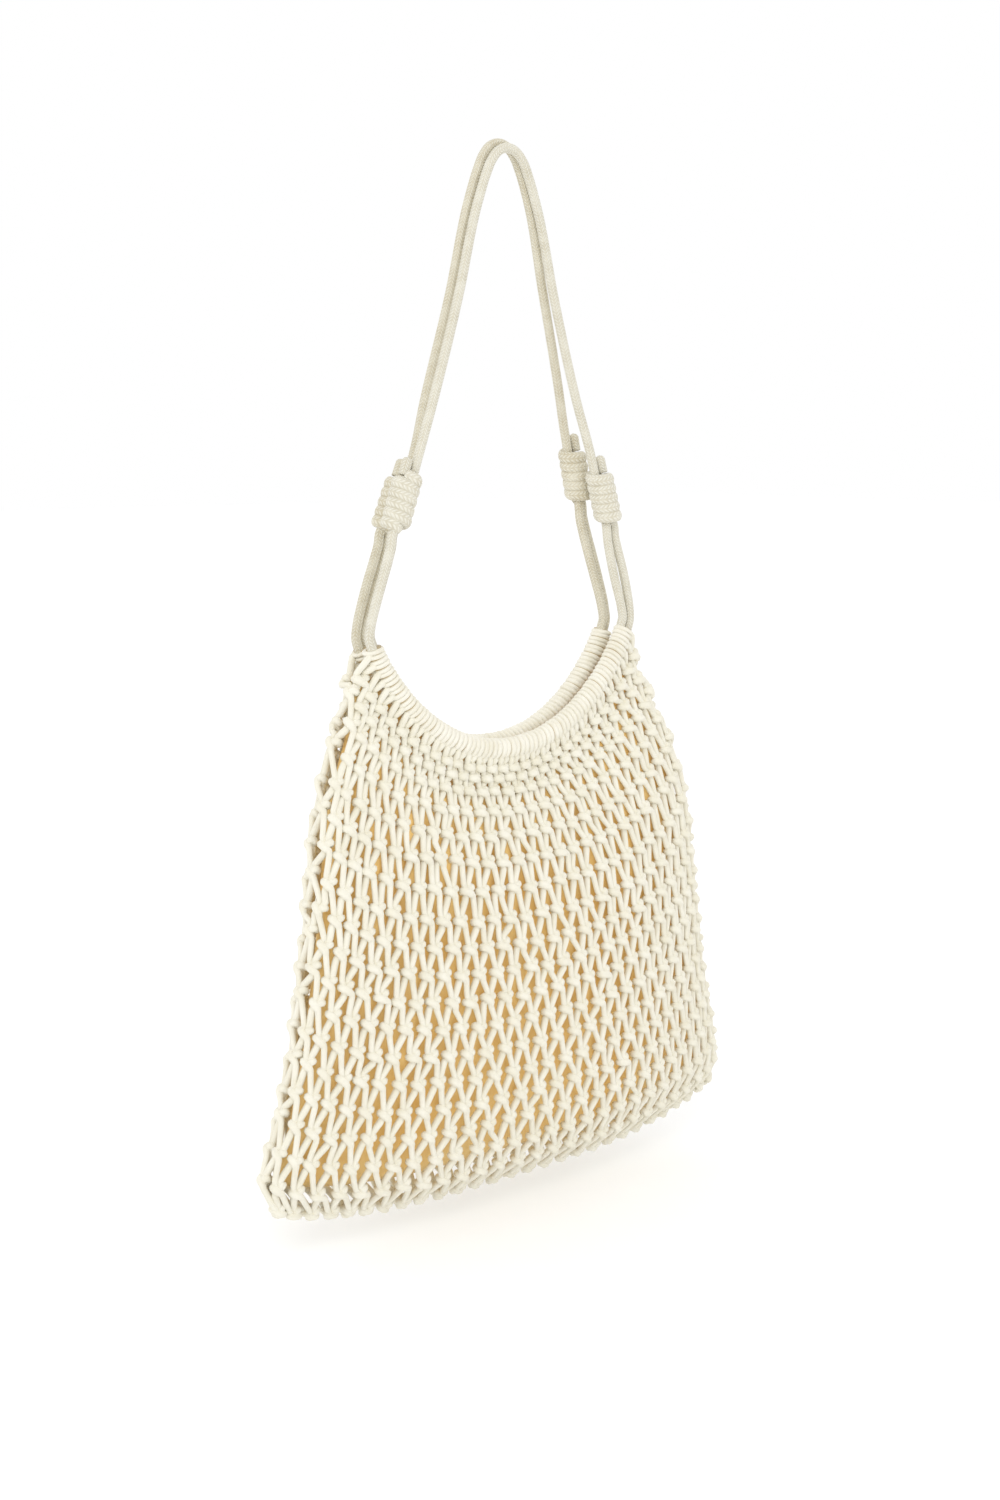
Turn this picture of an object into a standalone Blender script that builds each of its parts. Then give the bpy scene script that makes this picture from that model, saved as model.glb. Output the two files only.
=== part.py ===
"""Cotton beach bag: a knotted net over a cloth lining, hung from two rope handles.

Metres, +Z up, front to -Y. The origin is the hang point, under the tops of both handles and
midway between them.
Heights on the body are measured up from the level of its bottom corners.
"""
import math
from collections import namedtuple

import bmesh
import bpy
import numpy as np
from mathutils import Vector

# Body
BODY_HEIGHT = 0.357
HANG_TO_CORNER = 0.298
BOTTOM_HALF_WIDTH = 0.188
BOTTOM_SAG = 0.018
SEAM_ROUNDNESS = 3
BODY_HALF_DEPTH = 0.032
BODY_SWAY = 0.0128
SWAY_REACH = 0.45

# Mouth: its two wrapped edges lie further apart in the middle than at their ends
MOUTH_HALF_WIDTH = 0.1027
BACK_MOUTH_HALF_WIDTH = 0.0987
MOUTH_DEPTH = 0.075
MOUTH_ROUNDNESS = 1.7
MOUTH_HALF_GAP = 0.0102
MOUTH_END_HALF_GAP = 0.0088
MOUTH_SHIFT = -0.0057
MOUTH_SINKING = 0.9
MOUTH_BLEND = 0.030
MOUTH_STEPS = 400
RIM_RADIUS = 0.007

# Net
NET_WALL = 0.005
NET_SEAM_HALF_GAP = 0.0043
NET_BAND = 0.009
NET_COLUMNS = 7
NET_ROWS = 7
ROW_CROWDING = 0.35

# Lining
LINING_WALL = 0.0015
LINING_INSET = 0.0075
LINING_LIFT = 0.017
LINING_SEAT_TURN = 45.0
LINING_COLUMNS = 16
LINING_ROWS = 9

# Rope handles and coil knots
ROPE_RADIUS = 0.003
KNOT_RADIUS = 0.0092
KNOT_HEIGHT = 0.040
KNOT_TURNS = 5
KNOT_GROOVE = 0.0008
KNOT_SHOULDER = 0.0024
KNOT_TURN_ROUNDING = 0.3
KNOT_HALF_SPREAD = 0.082
KNOT_HALF_GAP = 0.0098
KNOT_LEAN = 0.30
ROPE_END_HEIGHT = 0.0075
HANDLE_TOP_SHIFT = 0.0010
HANDLE_TOP_STEP = 0.0016
HANDLE_SPREADING = 2
HANDLE_STRAIGHT = 0.009
LEG_STRAIGHT = 0.006
LEG_BOW = 0.0012
LEG_SWING = 0.3
LEG_LEAN = 0.4

# Clearances between pieces that touch
GAP = 0.0003
FACET_GAP = 0.0007

# Turned and swept pieces
KNOT_SIDES = 10
ROPE_END_SIDES = 10
ROPE_END_STEPS = 4
RIM_POINTS = 30
HANDLE_POINTS = 17
HANDLE_CROWDING = 1.5
LEG_POINTS = 6

# Side profile: height as a share of the body, width from the top corner (0) to the widest (1)
WIDTH_PROFILE = (
    (0.00, 0.87),
    (0.08, 1.00),
    (0.17, 0.92),
    (0.28, 0.79),
    (0.40, 0.69),
    (0.51, 0.61),
    (0.63, 0.54),
    (0.74, 0.43),
    (0.85, 0.215),
    (0.94, 0.055),
    (1.00, 0.00),
)

# Depth profile: height over the bottom seam as a share of the body,
# depth from the seam (0) to the fullest (1)
DEPTH_PROFILE = (
    (0.00, 0.00),
    (0.02, 0.34),
    (0.06, 0.64),
    (0.14, 0.90),
    (0.28, 1.00),
    (0.45, 0.95),
    (0.62, 0.70),
    (0.74, 0.42),
    (0.82, 0.34),
    (1.00, 0.33),
)

# Route of half a handle: share of the knot spread, share of the drop to the knot, from the top
HANDLE_ROUTE = (
    (0.000, 0.000),
    (0.085, 0.010),
    (0.150, 0.036),
    (0.203, 0.075),
    (0.275, 0.146),
    (0.474, 0.428),
    (0.705, 0.715),
)

# Squareness of the cross section: its exponent at the bottom and at the mouth, and how late it rises
BOTTOM_SQUARENESS = 2.2
MOUTH_SQUARENESS = 5.0
SQUARENESS_RISE = 3

# A corner of the mouth: side across, side in depth, place of its knot as a share of the knot
# spread, drop of the knot's middle, lean as a share of the knot lean, turn of its two legs,
# how far the end of the wrapped edge sinks under it
Corner = namedtuple("Corner", "across depth spread drop lean turn sink")
CORNERS = {
    "front_left": Corner(-1, -1, 1.059, 0.214, 1.15, 50.0, 0.0035),
    "front_right": Corner(1, -1, 0.939, 0.214, 1.00, 0.0, 0.0040),
    "back_left": Corner(-1, 1, 0.965, 0.215, 1.40, 20.0, 0.0050),
    "back_right": Corner(1, 1, 0.844, 0.200, 0.75, 30.0, 0.0060),
}

CORNER_Z = -HANG_TO_CORNER
FLOOR_Z = CORNER_Z - BODY_HEIGHT
TOP_HALF_WIDTH = MOUTH_HALF_WIDTH + RIM_RADIUS + FACET_GAP
LINING_SEAT = RIM_RADIUS + FACET_GAP + LINING_WALL / 2
SEAT_ANGLE = math.radians(LINING_SEAT_TURN)

# A layer of the body: how far it lies inside the net's middle surface, its half gap at the seams,
# its lift over the net's bottom, and where its top edge lies inside and under the rim's centre line
Layer = namedtuple("Layer", "inset seam lift mouth_inside mouth_offset")
NET = Layer(0.0, NET_SEAM_HALF_GAP, 0.0, 0.0, RIM_RADIUS + FACET_GAP)
LINING = Layer(LINING_INSET, 0.0, LINING_LIFT,
               LINING_SEAT * math.sin(SEAT_ANGLE), LINING_SEAT * math.cos(SEAT_ANGLE))


def smooth_table(table, x):
    """Value of a two-column table at x, on a smooth curve through its rows."""
    keys = [row[0] for row in table]
    values = [row[1] for row in table]
    x = min(max(x, keys[0]), keys[-1])
    i = min(int(np.searchsorted(keys, x, side="right")) - 1, len(keys) - 2)
    slopes = np.gradient(values, keys)
    step = keys[i + 1] - keys[i]
    t = (x - keys[i]) / step
    start = (1 + 2 * t) * (1 - t) ** 2 * values[i] + t * (1 - t) ** 2 * step * slopes[i]
    end = t * t * (3 - 2 * t) * values[i + 1] + t * t * (t - 1) * step * slopes[i + 1]
    return start + end


def smooth_step(x):
    """Smooth rise from 0 to 1."""
    x = min(max(x, 0.0), 1.0)
    return x * x * (3 - 2 * x)


def mouth_curve(offset, points):
    """Points (x, height) along the U of the mouth, evenly spaced, offset outwards."""
    angles = np.linspace(-math.pi / 2, math.pi / 2, MOUTH_STEPS + 1)
    x = MOUTH_HALF_WIDTH * np.sin(angles)
    height = BODY_HEIGHT - MOUTH_DEPTH * np.cos(angles) ** MOUTH_ROUNDNESS
    along_x = np.gradient(x)
    along_height = np.gradient(height)
    length = np.hypot(along_x, along_height)
    x = x + offset * along_height / length
    height = height - offset * along_x / length
    run = np.concatenate([[0.0], np.cumsum(np.hypot(np.diff(x), np.diff(height)))])
    even = np.linspace(0.0, run[-1], points)
    return np.column_stack([np.interp(even, run, x), np.interp(even, run, height)])


def rim_depth(x):
    """Half gap between the middles of the wrapped edges, at a place across the mouth."""
    share = min(abs(x) / MOUTH_HALF_WIDTH, 1.0)
    return MOUTH_HALF_GAP + (MOUTH_END_HALF_GAP - MOUTH_HALF_GAP) * share ** 2


def mouth_sink(x, side):
    """How far one wrapped edge sinks towards its ends, at a place across the mouth."""
    for corner in CORNERS.values():
        if corner.depth == side and corner.across * x >= 0:
            return corner.sink * smooth_step(abs(x) / MOUTH_HALF_WIDTH / MOUTH_SINKING)


def seam_height(share):
    """Height of the bottom seam at a share of the half width."""
    return NET_WALL / 2 - BOTTOM_SAG * (1 - abs(share) ** SEAM_ROUNDNESS)


def half_width(height, under_mouth, layer):
    """Half width of a layer at a height, pulled out to its edge under the mouth."""
    share = smooth_table(WIDTH_PROFILE, height / BODY_HEIGHT)
    mouth_inset = TOP_HALF_WIDTH - MOUTH_HALF_WIDTH - layer.mouth_offset
    inset = mouth_inset + (layer.inset - mouth_inset) * smooth_step(under_mouth / MOUTH_BLEND)
    return TOP_HALF_WIDTH + (BOTTOM_HALF_WIDTH - TOP_HALF_WIDTH) * share - inset


def half_depth(over_seam, under_mouth, mouth_depth, layer):
    """Half depth of a layer, from its seam at the bottom to where the rim holds it."""
    stretch = BODY_HEIGHT / (BODY_HEIGHT - layer.lift)
    share = smooth_table(DEPTH_PROFILE, over_seam * stretch / BODY_HEIGHT)
    full = BODY_HALF_DEPTH - layer.inset
    below = smooth_step((under_mouth - RIM_RADIUS) / MOUTH_BLEND)
    depth = layer.seam + (full - layer.seam) * share
    return mouth_depth + (depth - mouth_depth) * below


def squareness(height):
    """Exponent of the body's cross section, squarer towards the mouth."""
    share = min(max(height / BODY_HEIGHT, 0.0), 1.0)
    return BOTTOM_SQUARENESS + (MOUTH_SQUARENESS - BOTTOM_SQUARENESS) * share ** SQUARENESS_RISE


def sway(under_mouth):
    """How far the body hangs to +X of its mouth, at a height under it."""
    share = min(under_mouth / (SWAY_REACH * BODY_HEIGHT), 1.0)
    return BODY_SWAY * math.sin(math.pi / 2 * share)


def body_point(top, share, v, side, layer):
    """Point on one side of a layer, at a share across it and v down from the mouth."""
    top_x, top_height = top
    bottom_height = seam_height(share) + layer.lift
    down = v ** (1 + ROW_CROWDING * (1 - share * share))
    height = top_height + (bottom_height - top_height) * down
    top_share = top_x / half_width(top_height, 0.0, layer)
    across = top_share + (share - top_share) * (v + smooth_step(v)) / 2
    across = min(max(across, -1.0), 1.0)
    power = squareness(height)
    round_in = max(1 - abs(across) ** power, 0.0) ** (1 / power)
    mouth_depth = rim_depth(top_x) - layer.mouth_inside
    depth = half_depth(height - bottom_height, top_height - height, mouth_depth, layer)
    y = layer.seam + (depth - layer.seam) * round_in
    x = half_width(height, top_height - height, layer) * across
    x = x + sway(top_height - height) + MOUTH_SHIFT
    return Vector((x, side * y, height + FLOOR_Z))


def body_side(columns, rows, side, layer):
    """Grid of points over one side of a layer, from the mouth down."""
    tops = mouth_curve(layer.mouth_offset, columns + 1)
    tops[:, 1] -= [mouth_sink(x, side) for x in tops[:, 0]]
    for end in (0, -1):
        half = tops[:, 0] * tops[end, 0] > 0
        tops[half, 0] *= half_width(tops[end, 1], 0.0, layer) / abs(tops[end, 0])
    shares = np.linspace(-1.0, 1.0, columns + 1)
    grid = []
    for j in range(rows + 1):
        row = [body_point(top, share, j / rows, side, layer) for top, share in zip(tops, shares)]
        grid.append(row)
    return grid


def make_material(name, colour, roughness):
    """Principled material with a plain colour."""
    material = bpy.data.materials.new(name)
    material.use_nodes = True
    shader = material.node_tree.nodes["Principled BSDF"]
    shader.inputs["Base Color"].default_value = (*colour, 1.0)
    shader.inputs["Roughness"].default_value = roughness
    shader.inputs["Metallic"].default_value = 0.0
    return material


def add_mesh(name, mesh, material):
    """Object for a mesh, in the bag's collection."""
    thing = bpy.data.objects.new(name, mesh)
    thing.data.materials.append(material)
    BAG.objects.link(thing)
    return thing


def add_tube(name, points, radius, resolution, material):
    """Round tube with filled caps along a list of points."""
    curve = bpy.data.curves.new(name, "CURVE")
    curve.dimensions = "3D"
    curve.bevel_depth = radius
    curve.bevel_resolution = resolution
    curve.use_fill_caps = True
    spline = curve.splines.new("POLY")
    spline.points.add(len(points) - 1)
    for target, point in zip(spline.points, points):
        target.co = (*point, 1.0)
    spline.use_smooth = True
    tube = bpy.data.objects.new(name, curve)
    curve.materials.append(material)
    BAG.objects.link(tube)
    return tube


def add_solidify(thing, thickness, offset):
    """Wall thickness on an open surface."""
    wall = thing.modifiers.new("wall", "SOLIDIFY")
    wall.thickness = thickness
    wall.offset = offset
    wall.use_even_offset = False
    return wall


def build_net(name, side, material):
    """One side of the net: bands between diamond gaps, as an open surface with a wall."""
    columns = 2 * NET_COLUMNS
    fine = body_side(2 * columns, 2 * NET_ROWS, side, NET)
    mesh = bmesh.new()
    corners = {}

    def corner(i, j):
        if (i, j) not in corners:
            corners[(i, j)] = mesh.verts.new(fine[j][i])
        return corners[(i, j)]

    for j in range(NET_ROWS + 1):
        for i in range(columns + 1):
            if (i + j) % 2 == 0:
                continue
            left, right = max(i - 1, 0), min(i + 1, columns)
            upper, lower = max(j - 1, 0), min(j + 1, NET_ROWS)
            ring = [(2 * left, 2 * j), (2 * i, 2 * upper), (2 * right, 2 * j), (2 * i, 2 * lower)]
            outline = []
            for here, after in zip(ring, ring[1:] + ring[:1]):
                outline.append(here)
                outline.append(((here[0] + after[0]) // 2, (here[1] + after[1]) // 2))
            unique = [spot for k, spot in enumerate(outline) if spot != outline[k - 1]]
            face = [corner(*spot) for spot in unique]
            if side < 0:
                face.reverse()
            mesh.faces.new(face)
    mesh.normal_update()
    holes = bmesh.ops.inset_individual(mesh, faces=mesh.faces[:], thickness=NET_BAND / 2,
                                       use_even_offset=True)
    rims = set(holes["faces"])
    gaps = [face for face in mesh.faces if face not in rims]
    bmesh.ops.delete(mesh, geom=gaps, context="FACES_ONLY")
    bmesh.ops.triangulate(mesh, faces=mesh.faces[:])
    data = bpy.data.meshes.new(name)
    mesh.to_mesh(data)
    mesh.free()
    net = add_mesh(name, data, material)
    add_solidify(net, NET_WALL, 0.0)
    return net


def build_lining(material):
    """Cloth pouch inside the net: two sides joined at their edges and along the bottom."""
    mesh = bmesh.new()
    for side in (-1, 1):
        grid = body_side(LINING_COLUMNS, LINING_ROWS, side, LINING)
        verts = [[mesh.verts.new(point) for point in row] for row in grid]
        for j in range(LINING_ROWS):
            for i in range(LINING_COLUMNS):
                face = [verts[j][i], verts[j + 1][i], verts[j + 1][i + 1], verts[j][i + 1]]
                if side > 0:
                    face.reverse()
                mesh.faces.new(face)
    bmesh.ops.remove_doubles(mesh, verts=mesh.verts[:], dist=GAP / 3)
    data = bpy.data.meshes.new("lining")
    mesh.to_mesh(data)
    mesh.free()
    data.shade_smooth()
    lining = add_mesh("lining", data, material)
    add_solidify(lining, LINING_WALL, 0.0)
    return lining


def rim_route(side):
    """Centre line of one wrapped edge of the mouth."""
    narrowing = BACK_MOUTH_HALF_WIDTH / MOUTH_HALF_WIDTH if side > 0 else 1.0
    points = []
    for x, height in mouth_curve(0.0, RIM_POINTS):
        z = height - mouth_sink(x, side) + FLOOR_Z
        points.append(Vector((x * narrowing + MOUTH_SHIFT, side * rim_depth(x), z)))
    return points


def square_to(direction, axis):
    """Unit vector nearest to a direction and square to an axis."""
    return (direction - axis * direction.dot(axis)).normalized()


def knot_frame(corner):
    """Middle, axis and outward direction of a coil knot, leaning along its rope."""
    x = corner.across * KNOT_HALF_SPREAD * corner.spread
    middle = Vector((x, corner.depth * KNOT_HALF_GAP, -corner.drop))
    axis = Vector((-corner.across * KNOT_LEAN * corner.lean, 0.0, 1.0)).normalized()
    return middle, axis, square_to(Vector((corner.across, 0.0, 0.0)), axis)


def build_knot(name, middle, axis, material):
    """Coil of rope as a turned barrel with a groove between its turns."""
    pitch = KNOT_HEIGHT / KNOT_TURNS
    profile = [(0.0, KNOT_HEIGHT / 2)]
    for turn in range(KNOT_TURNS):
        top = KNOT_HEIGHT / 2 - turn * pitch
        inset = KNOT_SHOULDER if turn == 0 else KNOT_GROOVE
        profile.append((KNOT_RADIUS - inset, top))
        profile.append((KNOT_RADIUS, top - pitch * KNOT_TURN_ROUNDING))
        profile.append((KNOT_RADIUS, top - pitch * (1 - KNOT_TURN_ROUNDING)))
    profile.append((KNOT_RADIUS - KNOT_SHOULDER, -KNOT_HEIGHT / 2))
    profile.append((0.0, -KNOT_HEIGHT / 2))
    return add_turned(name, profile, KNOT_SIDES, middle, axis, material)


def add_turned(name, profile, sides, middle, axis, material):
    """Turned solid from a profile of (radius, height) rows, top to bottom."""
    mesh = bpy.data.meshes.new(name)
    verts = [(radius, 0.0, height) for radius, height in profile]
    edges = [(k, k + 1) for k in range(len(profile) - 1)]
    mesh.from_pydata(verts, edges, [])
    turned = add_mesh(name, mesh, material)
    turned.location = middle
    turned.rotation_mode = "QUATERNION"
    turned.rotation_quaternion = Vector((0, 0, 1)).rotation_difference(axis)
    screw = turned.modifiers.new("turn", "SCREW")
    screw.steps = sides
    screw.render_steps = sides
    screw.use_merge_vertices = True
    screw.merge_threshold = GAP / 6
    return turned


def build_rope_end(name, base, axis, material):
    """Free end of the rope, standing out of its coil with a rounded top."""
    radius = ROPE_RADIUS + GAP
    profile = []
    for k in range(ROPE_END_STEPS + 1):
        angle = math.pi / 2 * (1 - k / ROPE_END_STEPS)
        height = ROPE_END_HEIGHT - radius + radius * math.sin(angle)
        profile.append((radius * math.cos(angle), height))
    profile[0] = (0.0, ROPE_END_HEIGHT)
    profile.append((radius, 0.0))
    profile.append((0.0, 0.0))
    return add_turned(name, profile, ROPE_END_SIDES, base, axis, material)


def smooth_route(points, count, crowding):
    """Points on a smooth curve through a route, crowded towards its start."""
    run = [0.0]
    for here, after in zip(points, points[1:]):
        run.append(run[-1] + (after - here).length)
    spots = run[-1] * np.linspace(0.0, 1.0, count) ** crowding
    axes = [[(r, p[k]) for r, p in zip(run, points)] for k in range(3)]
    return [Vector([smooth_table(axis, r) for axis in axes]) for r in spots]


def handle_half(corner):
    """Route of half a handle, from its top to its coil knot."""
    top_gap = ROPE_RADIUS + GAP / 2
    top_x = -corner.depth * HANDLE_TOP_SHIFT
    top_z = ROPE_RADIUS + corner.depth * HANDLE_TOP_STEP
    middle, axis, outwards = knot_frame(corner)
    points = []
    for share_x, share_z in HANDLE_ROUTE:
        spread = share_z ** HANDLE_SPREADING
        even_x = top_x + corner.across * KNOT_HALF_SPREAD
        x = top_x + (even_x - top_x) * share_x + (middle.x - even_x) * spread
        y = corner.depth * (top_gap + (KNOT_HALF_GAP - top_gap) * spread)
        points.append(Vector((x, y, top_z - (corner.drop + top_z) * share_z)))
    seat = middle + axis * (KNOT_HEIGHT / 2 + GAP) - outwards * (ROPE_RADIUS + GAP)
    points.append(seat + axis * HANDLE_STRAIGHT)
    points.append(seat)
    return points


def build_handle(name, left, right, material):
    """One handle, from knot to knot over the hang point."""
    down = smooth_route(handle_half(right), HANDLE_POINTS, HANDLE_CROWDING)
    up = smooth_route(handle_half(left), HANDLE_POINTS, HANDLE_CROWDING)
    up.reverse()
    return add_tube(name, up[:-1] + down, ROPE_RADIUS, 2, material)


def build_legs(name, corner, material):
    """Two ropes from a coil knot down into the end of the wrapped edge."""
    rim = rim_route(corner.depth)
    rim_end, before = (rim[-1], rim[-2]) if corner.across > 0 else (rim[0], rim[1])
    up = (rim_end - before).normalized()
    middle, axis, outwards = knot_frame(corner)
    hang = Vector((0.0, 0.0, 1.0)).lerp(axis, LEG_LEAN).normalized()
    start = rim_end + up * FACET_GAP
    tilt_gap = ROPE_RADIUS * math.sin(axis.angle(hang))
    end = middle - axis * (KNOT_HEIGHT / 2 + FACET_GAP + tilt_gap)
    low, high = start + up * LEG_STRAIGHT, end - hang * LEG_STRAIGHT
    reach = (high - low).length
    swing = reach * LEG_SWING
    angle = math.radians(corner.turn)
    beside = Vector((math.cos(angle), math.sin(angle), 0.0))
    low_side = square_to(beside, up) * (ROPE_RADIUS + GAP)
    high_side = square_to(beside, axis) * (ROPE_RADIUS + GAP)
    for word, way in (("inner", -corner.across), ("outer", corner.across)):
        points = [start + low_side * way]
        for k in range(LEG_POINTS):
            t = k / (LEG_POINTS - 1)
            along = low * (1 + 2 * t) * (1 - t) ** 2 + up * swing * t * (1 - t) ** 2
            along = along + high * t * t * (3 - 2 * t) + hang * swing * t * t * (t - 1)
            bow = 1 + LEG_BOW / ROPE_RADIUS * math.sin(math.pi * t) ** 2
            points.append(along + low_side.lerp(high_side, t) * way * bow)
        points.append(end + high_side * way)
        add_tube(f"leg_{name}_{word}", points, ROPE_RADIUS, 2, material)


for thing in list(bpy.data.objects):
    bpy.data.objects.remove(thing, do_unlink=True)
BAG = bpy.data.collections.new("cotton_beach_bag")
bpy.context.scene.collection.children.link(BAG)

COTTON = make_material("net_cotton", (0.87, 0.85, 0.75), 0.85)
ROPE = make_material("rope_cotton", (0.80, 0.76, 0.65), 0.85)
CLOTH = make_material("lining_cotton", (0.72, 0.58, 0.38), 0.9)

build_net("net_front", -1, COTTON)
build_net("net_back", 1, COTTON)
build_lining(CLOTH)
add_tube("rim_front", rim_route(-1), RIM_RADIUS, 3, COTTON)
add_tube("rim_back", rim_route(1), RIM_RADIUS, 3, COTTON)

for corner_name, corner in CORNERS.items():
    middle, axis, outwards = knot_frame(corner)
    build_knot(f"knot_{corner_name}", middle, axis, ROPE)
    stand = middle + axis * (KNOT_HEIGHT / 2 + GAP) + outwards * (ROPE_RADIUS + 2 * GAP)
    build_rope_end(f"rope_end_{corner_name}", stand, axis, ROPE)
    build_legs(corner_name, corner, ROPE)

for word in ("front", "back"):
    build_handle(f"handle_{word}", CORNERS[f"{word}_left"], CORNERS[f"{word}_right"], ROPE)
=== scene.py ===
import math
from collections import namedtuple

import bpy
import numpy as np
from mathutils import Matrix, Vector


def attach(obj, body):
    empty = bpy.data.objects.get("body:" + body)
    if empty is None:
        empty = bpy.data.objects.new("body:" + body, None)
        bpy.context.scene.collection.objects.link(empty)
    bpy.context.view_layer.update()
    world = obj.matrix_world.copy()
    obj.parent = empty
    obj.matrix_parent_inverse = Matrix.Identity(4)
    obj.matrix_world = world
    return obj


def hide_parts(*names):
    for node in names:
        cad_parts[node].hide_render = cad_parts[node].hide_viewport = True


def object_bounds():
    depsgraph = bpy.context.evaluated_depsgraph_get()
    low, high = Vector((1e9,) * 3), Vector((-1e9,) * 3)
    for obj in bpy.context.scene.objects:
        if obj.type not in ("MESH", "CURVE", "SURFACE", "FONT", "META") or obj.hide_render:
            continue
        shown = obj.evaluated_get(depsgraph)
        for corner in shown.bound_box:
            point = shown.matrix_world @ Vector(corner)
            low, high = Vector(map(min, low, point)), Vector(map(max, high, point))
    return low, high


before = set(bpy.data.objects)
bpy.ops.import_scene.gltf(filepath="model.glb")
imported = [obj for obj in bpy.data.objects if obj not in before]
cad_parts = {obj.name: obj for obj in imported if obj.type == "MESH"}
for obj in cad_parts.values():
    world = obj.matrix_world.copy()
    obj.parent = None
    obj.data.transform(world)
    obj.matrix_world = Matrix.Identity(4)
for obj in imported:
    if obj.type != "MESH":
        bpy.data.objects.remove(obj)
CAD_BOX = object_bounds()

MM = 0.001

# Body: measures and tables as in the frame
BODY_HEIGHT = 0.357
HANG_TO_CORNER = 0.298
BOTTOM_HALF_WIDTH = 0.188
BOTTOM_SAG = 0.018
SEAM_ROUNDNESS = 3
SEAM_HEIGHT = 0.0065
LEFT_CORNER_LIFT = 0.005
RIGHT_CORNER_LIFT = 0.010
BODY_HALF_DEPTH = 0.032
BODY_SWAY = 0.0128
SWAY_REACH = 0.45
MOUTH_HALF_WIDTH = 0.1027
BACK_MOUTH_HALF_WIDTH = 0.0987
MOUTH_DEPTH = 0.075
MOUTH_ROUNDNESS = 1.7
MOUTH_HALF_GAP = 0.0102
MOUTH_END_HALF_GAP = 0.0088
MOUTH_SHIFT = -0.0057
MOUTH_SINKING = 0.9
MOUTH_BLEND = 0.030
MOUTH_STEPS = 400
BOTTOM_SQUARENESS = 2.2
MOUTH_SQUARENESS = 5.0
SQUARENESS_RISE = 3
SECTION_HALF_WIDTH = 0.15
FANNING_REACH = 0.5
RIM_RADIUS = 0.007
FACET_GAP = 0.0007
GAP = 0.0003
FLOOR_Z = -HANG_TO_CORNER - BODY_HEIGHT
TOP_HALF_WIDTH = MOUTH_HALF_WIDTH + RIM_RADIUS + FACET_GAP

WIDTH_PROFILE = (
    (0.00, 0.87), (0.08, 1.00), (0.17, 0.92), (0.28, 0.79), (0.40, 0.69), (0.51, 0.61),
    (0.63, 0.54), (0.74, 0.43), (0.85, 0.215), (0.94, 0.055), (1.00, 0.00),
)
DEPTH_PROFILE = (
    (0.00, 0.00), (0.02, 0.34), (0.06, 0.64), (0.14, 0.90), (0.28, 1.00), (0.45, 0.95),
    (0.62, 0.70), (0.74, 0.42), (0.82, 0.34), (1.00, 0.33),
)
# The lower left corner of the net stands out a little: reach, height of its middle, half height
EAR_REACH = 0.006
EAR_HEIGHT = 0.020
EAR_HALF_HEIGHT = 0.024

# Ropes and coil knots
ROPE_RADIUS = 0.003
KNOT_HEIGHT = 0.040
KNOT_TURNS = 5.0
KNOT_HALF_SPREAD = 0.082
KNOT_HALF_GAP = 0.0098
KNOT_LEAN = 0.30
ROPE_END_HEIGHT = 0.0075
HANDLE_TOP_SHIFT = 0.0010
HANDLE_TOP_STEP = 0.0016
HANDLE_SPREADING = 2
HANDLE_STRAIGHT = 0.009
LEG_STRAIGHT = 0.006
LEG_BOW = 0.0012
LEG_SWING = 0.3
LEG_LEAN = 0.4
LEG_POINTS = 6
TUCK = 0.005
HANDLE_ROUTE = (
    (0.000, 0.000), (0.085, 0.010), (0.150, 0.036), (0.203, 0.075), (0.275, 0.146),
    (0.474, 0.428), (0.705, 0.715),
)

Corner = namedtuple("Corner", "across depth spread drop lean turn sink")
CORNERS = {
    "front_left": Corner(-1, -1, 1.059, 0.214, 1.15, 50, 0.0035),
    "front_right": Corner(1, -1, 0.939, 0.214, 1.00, 0, 0.0040),
    "back_left": Corner(-1, 1, 0.965, 0.215, 1.40, 20, 0.0050),
    "back_right": Corner(1, 1, 0.844, 0.200, 0.75, 30, 0.0060),
}

# Net of cords
COLUMNS = 28
COLUMN_CROWDING = 0.14
COLUMN_LEANING = 0.03
SIDE_CROWDING = 0.12
CORD_SIDES = 8
# Share of the height passed at each row of knots, down the middle of the bag
ROW_SHARES = (
    0.000, 0.017, 0.040, 0.070, 0.115, 0.168, 0.224, 0.288, 0.353, 0.412,
    0.471, 0.529, 0.588, 0.647, 0.706, 0.765, 0.823, 0.882, 0.941, 1.000,
)
ROWS = len(ROW_SHARES) - 1
ROW_TABLE = [(row / ROWS, share) for row, share in enumerate(ROW_SHARES)]
FULL_ROW = 0.0165
SLIGHTEST_LIFT = 0.45
SIDE_ROW_EVENNESS = 0.5
FULL_COLUMN = 0.0112
# Paths of the two cords through a knot, in mm: right, down, out of the net, and cord radius
FRONT_CORD = (
    (-0.6, 0.8, -2.2, 2.0), (-2.3, 0.3, -1.7, 2.3), (-2.9, -0.7, 0.3, 2.6),
    (-2.1, -0.4, 2.0, 2.75), (-0.1, 0.9, 2.8, 2.7), (1.8, 2.8, 2.2, 2.35), (2.8, 5.4, 1.4, 2.0),
)
BACK_CORD = (
    (1.2, 0.4, -2.0, 2.0), (2.6, -1.0, -1.3, 2.2), (3.1, -1.9, 0.4, 2.4),
    (1.9, -1.2, 1.6, 2.5), (0.3, 0.4, 0.5, 2.4), (-0.9, 3.0, -0.5, 2.3),
    (-1.6, 5.4, -0.5, 2.4),
)
FRONT_ENTRY = ((-2.0, -4.9, 0.9, 1.9), (-1.3, -2.2, 0.9, 1.9), (-0.6, 0.6, 0.0, 1.9))
BACK_ENTRY = ((1.5, -4.9, -0.2, 2.35), (1.2, -2.2, 0.2, 2.25), (0.6, 0.8, -0.4, 2.0))
FRONT_TUCK = ((1.4, 4.0, -0.6, 1.9), (0.6, 3.2, -2.6, 1.6))
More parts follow.
